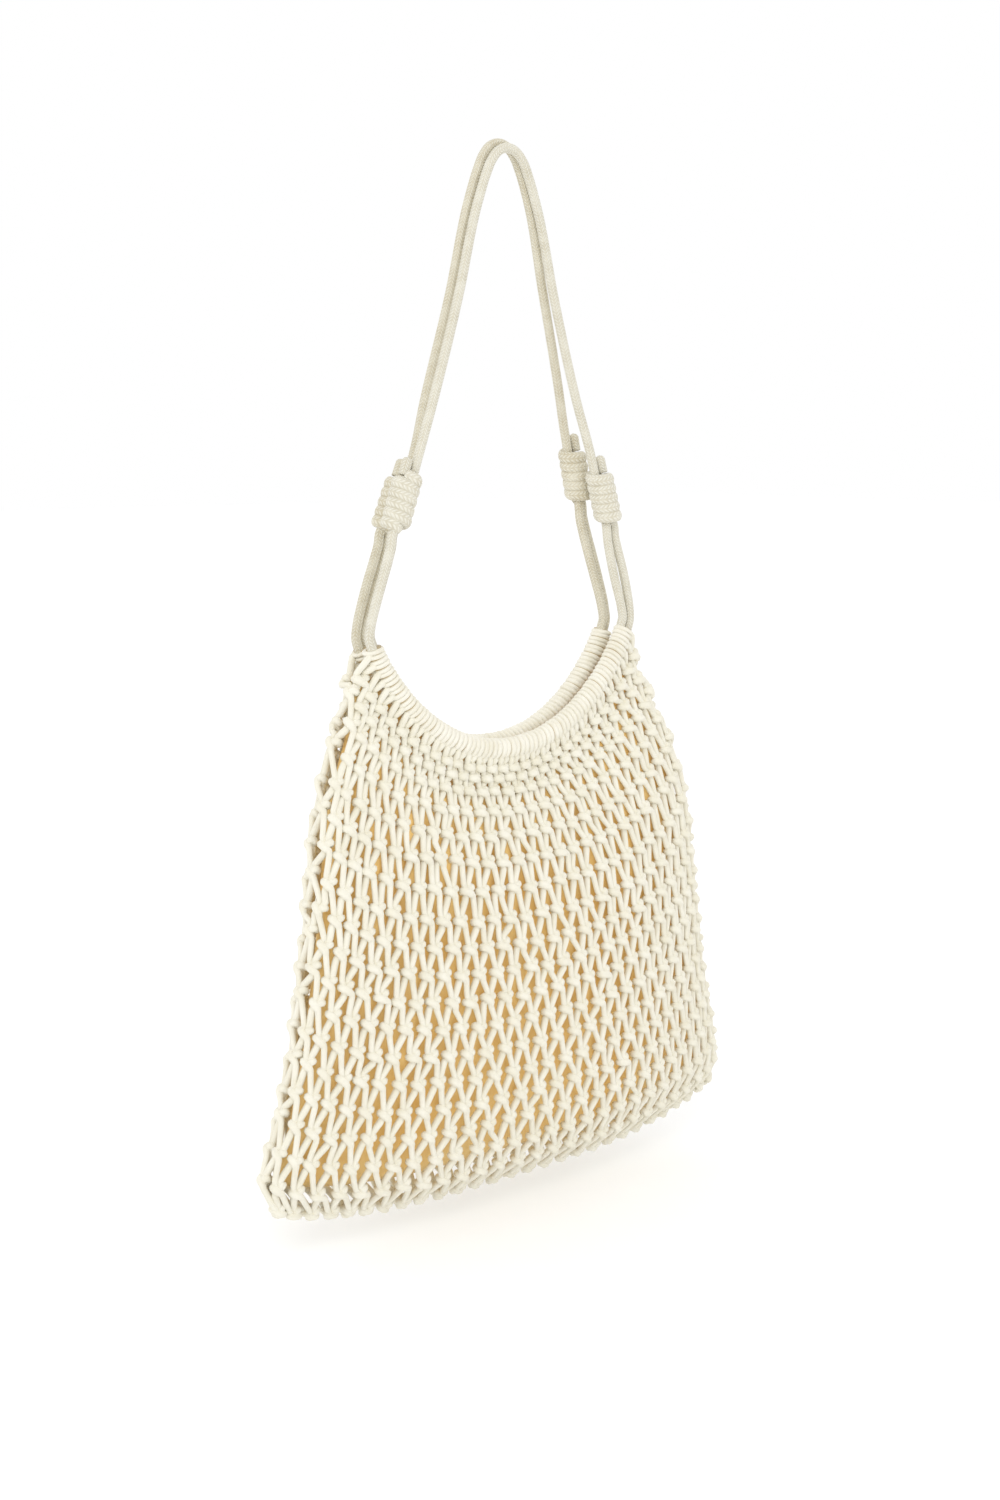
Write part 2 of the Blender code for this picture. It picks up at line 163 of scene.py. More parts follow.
BACK_TUCK = ((-1.5, 4.2, -2.0, 1.9), (-0.6, 3.2, -3.4, 1.6))

# Wrapped edges: pairs of turns, a little wider in the middle of the U
RIM_GROUPS = 38
RIM_WIDENING = 0.07
WRAP_AROUND, WRAP_SIDES = 24, 8

# Lining: cloth pouch held under the wrapped edges
LINING_WALL = 0.0012
LINING_INSET = 0.0075
LINING_LIFT = 0.017
LINING_SEAT = RIM_RADIUS + FACET_GAP + 0.00075
LINING_TURN = math.radians(45.0)
LINING_COLUMNS, LINING_ROWS = 150, 70
LINING_DIP = 0.04

Layer = namedtuple("Layer", "inset seam lift mouth_inside mouth_offset")
NET = Layer(0.0, 0.0012, 0.0, 0.0, RIM_RADIUS + FACET_GAP)
LINING = Layer(LINING_INSET, 0.0, LINING_LIFT,
               LINING_SEAT * math.sin(LINING_TURN), LINING_SEAT * math.cos(LINING_TURN))

RNG = np.random.default_rng(11)


def smooth_table(table, x):
    """Values of a two-column table at x, on a smooth curve through its rows."""
    keys, values = np.array(table, float).T
    slopes = np.gradient(values, keys)
    x = np.clip(x, keys[0], keys[-1])
    i = np.clip(np.searchsorted(keys, x, side="right") - 1, 0, len(keys) - 2)
    step = keys[i + 1] - keys[i]
    t = (x - keys[i]) / step
    start = (1 + 2 * t) * (1 - t) ** 2 * values[i] + t * (1 - t) ** 2 * step * slopes[i]
    end = t * t * (3 - 2 * t) * values[i + 1] + t * t * (t - 1) * step * slopes[i + 1]
    return start + end


def smooth_step(x):
    """Smooth rise from 0 to 1."""
    x = np.clip(x, 0.0, 1.0)
    return x * x * (3 - 2 * x)


def unit(vectors):
    """Vectors scaled to length one."""
    return vectors / np.maximum(np.linalg.norm(vectors, axis=-1, keepdims=True), 1e-12)


def square_to(direction, axis):
    """Unit vector nearest to a direction and square to an axis."""
    return unit(direction - axis * direction.dot(axis))


# Surface of the bag

def mouth_line(offset):
    """Run, x and height along the U of the mouth, offset outwards."""
    angles = np.linspace(-math.pi / 2, math.pi / 2, MOUTH_STEPS + 1)
    x = MOUTH_HALF_WIDTH * np.sin(angles)
    height = BODY_HEIGHT - MOUTH_DEPTH * np.cos(angles) ** MOUTH_ROUNDNESS
    along_x = np.gradient(x)
    along_height = np.gradient(height)
    length = np.hypot(along_x, along_height)
    x = x + offset * along_height / length
    height = height - offset * along_x / length
    run = np.concatenate([[0.0], np.cumsum(np.hypot(np.diff(x), np.diff(height)))])
    return run, x, height


def mouth_point(offset, e):
    """Points (x, height) at shares e along the U of the mouth, offset outwards."""
    run, x, height = mouth_line(offset)
    spots = np.asarray(e) * run[-1]
    return np.interp(spots, run, x), np.interp(spots, run, height)


def rim_depth(x):
    """Half gap between the middles of the wrapped edges, at a place across the mouth."""
    share = np.minimum(np.abs(x) / MOUTH_HALF_WIDTH, 1.0)
    return MOUTH_HALF_GAP + (MOUTH_END_HALF_GAP - MOUTH_HALF_GAP) * share ** 2


def mouth_sink(x, side):
    """How far one wrapped edge sinks towards its ends, at a place across the mouth."""
    front = np.where(x < 0, CORNERS["front_left"].sink, CORNERS["front_right"].sink)
    back = np.where(x < 0, CORNERS["back_left"].sink, CORNERS["back_right"].sink)
    share = np.abs(x) / MOUTH_HALF_WIDTH / MOUTH_SINKING
    return np.where(side < 0, front, back) * smooth_step(share)


def half_width(height, under_mouth, layer):
    """Half width of a layer at a height, pulled out to its edge under the mouth."""
    share = smooth_table(WIDTH_PROFILE, height / BODY_HEIGHT)
    mouth_inset = TOP_HALF_WIDTH - MOUTH_HALF_WIDTH - layer.mouth_offset
    inset = mouth_inset + (layer.inset - mouth_inset) * smooth_step(under_mouth / MOUTH_BLEND)
    return TOP_HALF_WIDTH + (BOTTOM_HALF_WIDTH - TOP_HALF_WIDTH) * share - inset


def half_depth(over_seam, under_mouth, mouth_depth, layer):
    """Half depth of a layer, from its seam at the bottom to where the rim holds it."""
    stretch = BODY_HEIGHT / (BODY_HEIGHT - layer.lift)
    share = smooth_table(DEPTH_PROFILE, over_seam * stretch / BODY_HEIGHT)
    full = BODY_HALF_DEPTH - layer.inset
    below = smooth_step((under_mouth - RIM_RADIUS) / MOUTH_BLEND)
    depth = layer.seam + (full - layer.seam) * share
    return mouth_depth + (depth - mouth_depth) * below


def even_rows(v, share):
    """Share of the height passed by the lining, as in the frame."""
    return v ** (1 + 0.35 * (1 - share * share))


def net_rows(v, share):
    """Share of the height passed by the net: rows crowd under the middle of the mouth."""
    return v + (smooth_table(ROW_TABLE, v) - v) * (1 - SIDE_ROW_EVENNESS * share * share)


def section_run():
    """Angle and run along a quarter of the body's cross section, from its middle to its side."""
    turn = np.linspace(0.0, math.pi / 2, 400)
    x = SECTION_HALF_WIDTH * np.sin(turn) ** (2 / BOTTOM_SQUARENESS)
    y = BODY_HALF_DEPTH * np.cos(turn) ** (2 / BOTTOM_SQUARENESS)
    run = np.concatenate([[0.0], np.cumsum(np.hypot(np.diff(x), np.diff(y)))])
    return turn, run / run[-1]


def body_point(e, share, v, side, layer, rows):
    """Points on a layer: e along the mouth, share round the bottom, v down, front or back."""
    e, share, v, side = np.broadcast_arrays(
        np.asarray(e, float), np.asarray(share, float), np.asarray(v, float), side)
    top_x, top_height = mouth_point(layer.mouth_offset, e)
    top_height = top_height - mouth_sink(top_x, side)
    end_x, end_height = mouth_point(layer.mouth_offset, 1.0)
    end_height = end_height - mouth_sink(np.sign(top_x) * end_x, side)
    top_x = top_x * half_width(end_height, 0.0, layer) / end_x
    bottom_height = SEAM_HEIGHT - BOTTOM_SAG * (1 - np.abs(share) ** SEAM_ROUNDNESS)
    corner_lift = np.where(share < 0, LEFT_CORNER_LIFT, RIGHT_CORNER_LIFT)
    bottom_height = bottom_height + corner_lift * share ** 4 + layer.lift
    height = top_height + (bottom_height - top_height) * rows(v, share)
    power = squareness(height)
    turn, run = SECTION
    top_share = np.clip(np.abs(top_x) / half_width(top_height, 0.0, layer), 0.0, 1.0)
    top_run = np.interp(np.arcsin(top_share ** (BOTTOM_SQUARENESS / 2)), turn, run)
    top_run = np.sign(top_x) * top_run
    spot = top_run + (share - top_run) * smooth_step(v / FANNING_REACH)
    angle = np.interp(np.abs(spot), run, turn)
    across = np.sign(spot) * np.sin(angle) ** (2 / BOTTOM_SQUARENESS)
    round_in = np.maximum(1 - np.abs(across) ** power, 0.0) ** (1 / power)
    mouth_depth = rim_depth(top_x) - layer.mouth_inside
    depth = half_depth(height - bottom_height, top_height - height, mouth_depth, layer)
    y = layer.seam + (depth - layer.seam) * round_in
    under = np.clip((top_height - height) / (SWAY_REACH * BODY_HEIGHT), 0.0, 1.0)
    sway = BODY_SWAY * np.sin(math.pi / 2 * under)
    ear = EAR_REACH * np.exp(-((height - EAR_HEIGHT) / EAR_HALF_HEIGHT) ** 2)
    ear = ear * np.clip(-across, 0.0, 1.0) ** 2
    x = half_width(height, top_height - height, layer) * across + sway + MOUTH_SHIFT - ear
    return np.stack([x, side * y, height + FLOOR_Z], axis=-1)


def squareness(height):
    """Exponent of the body's cross section, squarer towards the mouth."""
    rise = np.clip(height / BODY_HEIGHT, 0.0, 1.0) ** SQUARENESS_RISE
    return BOTTOM_SQUARENESS + (MOUTH_SQUARENESS - BOTTOM_SQUARENESS) * rise


def bottom_share(s):
    """Share round the bottom for even steps s, closer at the sides and to the right."""
    return s + (SIDE_CROWDING * s + COLUMN_LEANING) * (1 - s * s)


def mouth_share(s):
    """Share along the mouth for even steps s, closer together in the middle of the U."""
    return 0.5 + 0.5 * s * (1 - COLUMN_CROWDING * (1 - s * s))


def side_of(k):
    """Step s from -1 to 1 across a side, and which side, for columns counted round the bag."""
    k = np.mod(k, 2 * COLUMNS)
    front = k <= COLUMNS
    q = np.where(front, k, 2 * COLUMNS - k) / COLUMNS
    return 2 * q - 1, np.where(front, -1.0, 1.0)


def round_point(k, v):
    """Points on the net at a column k counted right round the bag, seen from outside."""
    s, side = side_of(k)
    return body_point(mouth_share(s), bottom_share(s), v, side, NET, net_rows)


def round_frame(k, v):
    """Right, down and outward directions of the net at (k, v)."""
    right = unit(round_point(k + 0.3, v) - round_point(k - 0.3, v))
    down = unit(round_point(k, v + 0.012) - round_point(k, v - 0.012))
    out = unit(np.cross(down, right))
    right = unit(np.cross(out, down))
    return right, down, out


def rim_line(e, side):
    """Points in the middle of a wrapped edge."""
    x, height = mouth_point(0.0, e)
    narrowing = BACK_MOUTH_HALF_WIDTH / MOUTH_HALF_WIDTH if side > 0 else 1.0
    z = height - mouth_sink(x, side) + FLOOR_Z
    return np.stack([x * narrowing + MOUTH_SHIFT, side * rim_depth(x), z], axis=-1)


def rim_frame(e, side):
    """Middle, tangent, away from the mouth, and outward direction on a wrapped edge."""
    e = np.asarray(e, float)
    ahead = rim_line(np.minimum(e + 0.004, 1.0), side)
    behind = rim_line(np.maximum(e - 0.004, 0.0), side)
    tangent = unit(ahead - behind)
    out = np.zeros_like(tangent)
    out[..., 1] = side
    away = unit(np.cross(out, tangent)) * side
    return rim_line(e, side), tangent, away, out


SECTION = section_run()


# Mesh helpers

def spline_weights(count, per_span):
    """Weights that turn control points into points on a smooth curve through them."""
    rows = []
    for span in range(count - 1):
        steps = per_span + 1 if span == count - 2 else per_span
        for t in np.arange(steps) / per_span:
            row = np.zeros(count)
            parts = (
                (max(span - 1, 0), -t / 2 + t * t - t ** 3 / 2),
                (span, 1 - 2.5 * t * t + 1.5 * t ** 3),
                (span + 1, t / 2 + 2 * t * t - 1.5 * t ** 3),
                (min(span + 2, count - 1), -t * t / 2 + t ** 3 / 2),
            )
            for spot, weight in parts:
                row[spot] += weight
            rows.append(row)
    return np.array(rows)


def path_frames(paths):
    """Tangents and two square directions along many paths at once."""
    tangents = unit(np.gradient(paths, axis=1))
    guess = np.zeros_like(tangents[:, 0])
    guess[:, 1] = 1.0
    normals = np.zeros_like(tangents)
    for i in range(paths.shape[1]):
        tangent = tangents[:, i]
        guess = unit(guess - tangent * np.sum(guess * tangent, axis=-1, keepdims=True))
        normals[:, i] = guess
    return tangents, normals, np.cross(tangents, normals)


def make_mesh(name, verts, faces, uvs, material):
    """Smooth mesh object from arrays."""
    mesh = bpy.data.meshes.new(name)
    mesh.from_pydata(verts.tolist(), [], faces)
    layer = mesh.uv_layers.new(name="UVMap")
    layer.data.foreach_set("uv", np.asarray(uvs, float).ravel())
    mesh.materials.append(material)
    mesh.shade_smooth()
    thing = bpy.data.objects.new(name, mesh)
    bpy.context.scene.collection.objects.link(thing)
    return thing


def sweep(name, paths, radii, sides, material, normals=None, wide=None, capped=True):
    """Round tubes along many paths of the same count of points, as one mesh."""
    many, count = paths.shape[:2]
    tangents, along, across = path_frames(paths)
    if normals is not None:
        along = unit(normals - tangents * np.sum(normals * tangents, axis=-1, keepdims=True))
        across = np.cross(tangents, along)
    radii = np.broadcast_to(np.asarray(radii, float), (many, count))
    wide = radii if wide is None else np.broadcast_to(np.asarray(wide, float), (many, count))
    turn = 2 * math.pi * np.arange(sides) / sides
    ring = along[:, :, None] * (np.cos(turn)[:, None] * radii[:, :, None, None])
    ring = ring + across[:, :, None] * (np.sin(turn)[:, None] * wide[:, :, None, None])
    verts = (paths[:, :, None] + ring).reshape(-1, 3)
    base = (np.arange(many) * count * sides)[:, None, None]
    ring_start = (np.arange(count - 1) * sides)[None, :, None]
    s = np.arange(sides)[None, None, :]
    after = (s + 1) % sides
    low, high = base + ring_start, base + ring_start + sides
    quads = np.stack([low + s, low + after, high + after, high + s], axis=-1)
    run = np.concatenate([np.zeros((many, 1)),
                          np.cumsum(np.linalg.norm(np.diff(paths, axis=1), axis=-1), axis=1)], 1)
    u0 = np.broadcast_to(s / sides, quads.shape[:3])
    u1 = np.broadcast_to((s + 1) / sides, quads.shape[:3])
    v0 = np.broadcast_to(run[:, :-1, None], quads.shape[:3])
    v1 = np.broadcast_to(run[:, 1:, None], quads.shape[:3])
    uvs = np.stack([np.stack([u0, v0], -1), np.stack([u1, v0], -1),
                    np.stack([u1, v1], -1), np.stack([u0, v1], -1)], axis=3).reshape(-1, 2)
    faces = quads.reshape(-1, 4).tolist()
    uvs = uvs.tolist()
    if capped:
        for m in range(many):
            start = m * count * sides
            end = start + (count - 1) * sides
            faces.append([start + sides - 1 - i for i in range(sides)])
            faces.append([end + i for i in range(sides)])
            for _ in range(2 * sides):
                uvs.append((0.5, 0.0))
    return make_mesh(name, verts, faces, uvs, material)


# Materials

def new_material(name, roughness):
    """Principled material with its node tree ready to extend."""
    material = bpy.data.materials.new(name)
    material.use_nodes = True
    shader = material.node_tree.nodes["Principled BSDF"]
    shader.inputs["Roughness"].default_value = roughness
    shader.inputs["Specular IOR Level"].default_value = 0.25
    shader.inputs["Sheen Weight"].default_value = 0.25
    shader.inputs["Sheen Roughness"].default_value = 0.5
    return material, material.node_tree, shader


def noise(tree, vector, scale, detail):
    """Noise texture in the object's own space."""
    node = tree.nodes.new("ShaderNodeTexNoise")
    node.inputs["Scale"].default_value = scale
    node.inputs["Detail"].default_value = detail
    tree.links.new(vector, node.inputs["Vector"])
    return node.outputs["Fac"]


def ramp(tree, value, stops):
    """Colour ramp through a list of (place, colour)."""
    node = tree.nodes.new("ShaderNodeValToRGB")
    elements = node.color_ramp.elements
    while len(elements) < len(stops):
        elements.new(0.5)
    for element, (place, colour) in zip(elements, stops):
        element.position = place
        element.color = (*colour, 1.0)
    tree.links.new(value, node.inputs["Fac"])
    return node.outputs["Color"]


def math_node(tree, operation, a, b=None):
    """Math node on sockets or numbers."""
    node = tree.nodes.new("ShaderNodeMath")
    node.operation = operation
    for socket, value in zip(node.inputs, (a, b)):
        if value is None:
            continue
        if isinstance(value, (int, float)):
            socket.default_value = value
        else:
            tree.links.new(value, socket)
    return node.outputs["Value"]


def bump(tree, height, strength, distance, below=None):
    """Bump node on a height."""
    node = tree.nodes.new("ShaderNodeBump")
    node.inputs["Strength"].default_value = strength
    node.inputs["Distance"].default_value = distance
    tree.links.new(height, node.inputs["Height"])
    if below is not None:
        tree.links.new(below, node.inputs["Normal"])
    return node.outputs["Normal"]


def cord_material(name, light, dark):
    """Soft cotton cord: fine fibres along a loose braid, slightly uneven in colour."""
    material, tree, shader = new_material(name, 0.85)
    place = tree.nodes.new("ShaderNodeTexCoord")
    own = place.outputs["Object"]
    colour = ramp(tree, noise(tree, own, 90.0, 3.0), ((0.3, dark), (0.65, light)))
    tree.links.new(colour, shader.inputs["Base Color"])
    fuzz = noise(tree, own, 2200.0, 3.0)
    lumps = noise(tree, own, 600.0, 2.0)
    low = bump(tree, lumps, 0.5, 0.0005)
    tree.links.new(bump(tree, fuzz, 0.6, 0.0003, low), shader.inputs["Normal"])
    return material


def braid_material(name, light, dark, columns, pitch):
    """Braided rope: slanted stitches in columns that mirror each other, darker in the grooves as painted
    shade.
    """
    material, tree, shader = new_material(name, 0.85)
    place = tree.nodes.new("ShaderNodeTexCoord")
    parts = tree.nodes.new("ShaderNodeSeparateXYZ")
    tree.links.new(place.outputs["UV"], parts.inputs["Vector"])
    column = math_node(tree, "MULTIPLY", parts.outputs["X"], float(columns))
    across = math_node(tree, "FRACT", column)
    whole = math_node(tree, "FLOOR", column)
    parity = math_node(tree, "MODULO", whole, 2.0)
    way = math_node(tree, "SUBTRACT", math_node(tree, "MULTIPLY", parity, 2.0), 1.0)
    slant = math_node(tree, "MULTIPLY", across, way)
    along = math_node(tree, "DIVIDE", parts.outputs["Y"], pitch)
    phase = math_node(tree, "MULTIPLY", math_node(tree, "ADD", along, slant), 2 * math.pi)
    stitch = math_node(tree, "MULTIPLY_ADD", math_node(tree, "SINE", phase), 0.5)
    stitch.node.inputs[2].default_value = 0.5
    crown = math_node(tree, "SINE", math_node(tree, "MULTIPLY", across, math.pi))
    height = math_node(tree, "MULTIPLY", stitch, crown)
    own = place.outputs["Object"]
    # Colour mixes painted shade in the grooves between stitches with random tone
    groove_shade_and_tone = math_node(tree, "ADD", math_node(tree, "MULTIPLY", height, 0.55),
                      math_node(tree, "MULTIPLY", noise(tree, own, 120.0, 3.0), 0.6))
    colour = ramp(tree, groove_shade_and_tone, ((0.2, dark), (0.62, light)))
    tree.links.new(colour, shader.inputs["Base Color"])
    woven = bump(tree, height, 0.8, 0.0005)
    fuzz = noise(tree, own, 2600.0, 2.0)
    tree.links.new(bump(tree, fuzz, 0.4, 0.0002, woven), shader.inputs["Normal"])
    return material


def cloth_material(name, light, dark):
    """Plain woven lining cloth, with a faint warm glow painted on for light passing through it."""
    material, tree, shader = new_material(name, 0.9)
    # Faint warm emission: painted light standing for light that passes through the net into the pouch
    shader.inputs["Emission Color"].default_value = (1.0, 0.62, 0.22, 1.0)
    shader.inputs["Emission Strength"].default_value = 0.12
    place = tree.nodes.new("ShaderNodeTexCoord")
    own = place.outputs["Object"]
    colour = ramp(tree, noise(tree, own, 26.0, 3.0), ((0.3, dark), (0.7, light)))
    tree.links.new(colour, shader.inputs["Base Color"])
    parts = tree.nodes.new("ShaderNodeSeparateXYZ")
    tree.links.new(own, parts.inputs["Vector"])
    weft = math_node(tree, "SINE", math_node(tree, "MULTIPLY", parts.outputs["X"], 7000.0))
    warp = math_node(tree, "SINE", math_node(tree, "MULTIPLY", parts.outputs["Z"], 7000.0))
    weave = math_node(tree, "MULTIPLY", weft, warp)
    low = bump(tree, weave, 0.3, 0.0002)
    tree.links.new(bump(tree, noise(tree, own, 800.0, 2.0), 0.3, 0.0003, low),
                   shader.inputs["Normal"])
    return material


# Camera, light and floor

def make_camera():
    """Camera at the photograph's place."""
    data = bpy.data.cameras.new("camera")
    data.lens = 44.4
    data.sensor_width = 36.0
    data.clip_start = 0.05
    camera = bpy.data.objects.new("camera", data)
    camera.location = (-0.7432, -0.931, -0.177)
    camera.rotation_euler = (math.radians(90.0 - 9.5), 0.0, math.radians(-38.5))
    bpy.context.scene.collection.objects.link(camera)
    bpy.context.scene.camera = camera


def make_area_light(name, place, aim, size, power):
    """Soft square light aimed at a point."""
    data = bpy.data.lights.new(name, "AREA")
    data.size = size
    data.energy = power
    light = bpy.data.objects.new(name, data)
    light.location = place
    light.rotation_euler = (Vector(aim) - Vector(place)).to_track_quat("-Z", "Y").to_euler()
    bpy.context.scene.collection.objects.link(light)


def make_stage():
    """Pale floor and even white surroundings."""
    world = bpy.data.worlds.new("studio")
    world.use_nodes = True
    background = world.node_tree.nodes["Background"]
    background.inputs["Color"].default_value = (1.0, 1.0, 1.0, 1.0)
    background.inputs["Strength"].default_value = 1.0
    bpy.context.scene.world = world
    bpy.context.scene.view_settings.view_transform = "Standard"
    size = 12.0
    level = CAD_BOX[0].z - 0.013
    corners = [(-size, -size, level), (size, -size, level), (size, size, level),
               (-size, size, level)]
    mesh = bpy.data.meshes.new("floor")
    mesh.from_pydata(corners, [], [(0, 1, 2, 3)])
    floor = bpy.data.objects.new("floor", mesh)
    material, tree, shader = new_material("floor_white", 0.9)
    shader.inputs["Base Color"].default_value = (0.93, 0.93, 0.93, 1.0)
    shader.inputs["Sheen Weight"].default_value = 0.0
    shader.inputs["Emission Color"].default_value = (1.0, 1.0, 1.0, 1.0)
    shader.inputs["Emission Strength"].default_value = 0.11
    mesh.materials.append(material)
    bpy.context.scene.collection.objects.link(floor)
    make_area_light("key", (-1.5, -1.3, 1.3), (0.0, 0.0, -0.4), 1.2, 12.0)


def dress(piece, node):
    """A piece rides on the bag and stands for a node, whose imported part it hides."""
    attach(piece, "root")
    if node:
        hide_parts(node)


make_camera()
make_stage()

NET_COTTON = cord_material("net_cord", (0.87, 0.84, 0.73), (0.82, 0.78, 0.645))
RIM_COTTON = cord_material("rim_cord", (0.88, 0.85, 0.75), (0.82, 0.78, 0.65))
# Rope core coloured dark tan: painted shade in the gaps between the wrapped turns
CORE_SHADE = cord_material("rim_core_painted_shade", (0.58, 0.47, 0.29), (0.50, 0.38, 0.21))
FRONT_BRAID = braid_material("rope_braid", (0.81, 0.785, 0.68), (0.62, 0.575, 0.45), 8, 0.0021)
# Darker copy of the rope braid: painted shade on the back handle, back knots and back legs
SHADED_BACK_BRAID = braid_material("rope_braid_back_painted_shade", (0.77, 0.735, 0.61), (0.57, 0.51, 0.37), 8, 0.0021)
# Lining cloth with a painted warm glow
GLOWING_LINING_COTTON = cloth_material("lining_weave_painted_glow", (0.94, 0.72, 0.34), (0.90, 0.62, 0.23))


# Net

def knot_points(table, spot):
    """World points of a knot's path table, at many knots."""
    right, down, out = spot.frames
    c, s = np.cos(spot.turn), np.sin(spot.turn)
    points = []
    for a, b, n, _ in table:
        beside = (a * c - b * s) * spot.size * spot.wide
        below = (a * s + b * c) * spot.size * spot.lift
        away = n * spot.size
        points.append(spot.centre + (right * beside[:, None] + down * below[:, None]
                                     + out * away[:, None]) * MM)
    return points


Knots = namedtuple("Knots", "k centre frames lift wide size turn")


def knot_row(j):
    """Places, directions and sizes of the knots in a row, right round the bag."""
    k = np.arange(2 * COLUMNS) + (0.5 if j % 2 == 0 else 0.0)
    near = k + RNG.normal(0.0, 0.03, k.shape)
    v = (j + 1) / ROWS + RNG.normal(0.0, 0.0018, k.shape)
    centre = round_point(near, v)
    above = round_point(near, v - 1 / ROWS)
    below = round_point(near, v + 1 / ROWS)
    pitch = np.linalg.norm(below - above, axis=-1) / 2
    if j == ROWS - 1:
        pitch = np.linalg.norm(centre - above, axis=-1)
    beside = np.linalg.norm(round_point(near + 0.5, v) - round_point(near - 0.5, v), axis=-1)
    lift = np.clip(pitch / FULL_ROW, SLIGHTEST_LIFT, 1.0)
    wide = np.clip(beside / FULL_COLUMN, 0.8, 1.1)
    size = RNG.normal(1.0, 0.04, k.shape)
    turn = RNG.normal(0.0, 0.12, k.shape)
    return Knots(k, centre, round_frame(near, v), lift, wide, size, turn)


def build_net():
    """Points and radii of both cords from every knot to the next row, row by row."""
    rows = [knot_row(j) for j in range(ROWS)]
    cords = []
    index = np.arange(2 * COLUMNS)
    for j, spot in enumerate(rows):
        last = j == ROWS - 1
        shift = 1 if j % 2 == 0 else 0
        ways = ((FRONT_CORD, FRONT_ENTRY, FRONT_TUCK, shift), (BACK_CORD, BACK_ENTRY, BACK_TUCK, shift - 1))
        for table, entry, tuck, step in ways:
            if last:
                points = knot_points(table[:-1] + tuck, spot)
                radii = [row[3] for row in table[:-1] + tuck]
            else:
                after = (index + step) % (2 * COLUMNS)
                points = knot_points(table, spot)
                points += [place[after] for place in knot_points(entry, rows[j + 1])]
                radii = [row[3] for row in table + entry]
            cords.append((j, spot.k, np.stack(points, axis=1), np.array(radii) * MM))
    return cords, rows[0]


def add_net():
    """Net pieces: upper and lower halves of the front and back, and the cords at the rim."""
    cords, first = build_net()
    groups = {}
    for j, k, points, radii in cords:
        weights = spline_weights(points.shape[1], 2)
        paths = np.einsum("sc,kcx->ksx", weights, points)
        sizes = np.broadcast_to(weights @ radii, paths.shape[:2])
        level = "upper" if j < ROWS // 2 else "lower"
        on_front = k < COLUMNS
        for word, mask in (("front", on_front), ("back", ~on_front)):
            group = groups.setdefault((word, level, paths.shape[1]), [])
            group.append((paths[mask], sizes[mask]))
    for (word, level, count), parts in groups.items():
        paths = np.concatenate([paths for paths, _ in parts])
        sizes = np.concatenate([sizes for _, sizes in parts])
        name = f"net_cords_{word}_{level}" if count > 17 else f"net_cords_{word}_seam"
        dress(sweep(name, paths, sizes, CORD_SIDES, NET_COTTON), f"net_{word}")
    add_leads(first)


def add_leads(first):
    """Cords from the wrapped edges into the first row of knots."""
    entries = ((-0.25, FRONT_ENTRY), (0.25, BACK_ENTRY))
    for side, word in ((-1.0, "front"), (1.0, "back")):
        mask = (first.k < COLUMNS) == (side < 0)
        paths = []
        for shift, entry in entries:
            s, _ = side_of(first.k[mask] + shift)
            middle, _, away, out = rim_frame(mouth_share(s), side)
            start = [middle + away * 4.0 * MM + out * 1.0 * MM,
                     middle + away * 6.6 * MM + out * 2.6 * MM]
            start += [place[mask] for place in knot_points(entry, first)]
            paths.append(np.stack(start, axis=1))
        points = np.concatenate(paths)
        weights = spline_weights(points.shape[1], 3)
        paths = np.einsum("sc,kcx->ksx", weights, points)
        piece = sweep(f"net_leads_{word}", paths, 2.2 * MM, CORD_SIDES, NET_COTTON)
        dress(piece, f"net_{word}")


# Wrapped edges

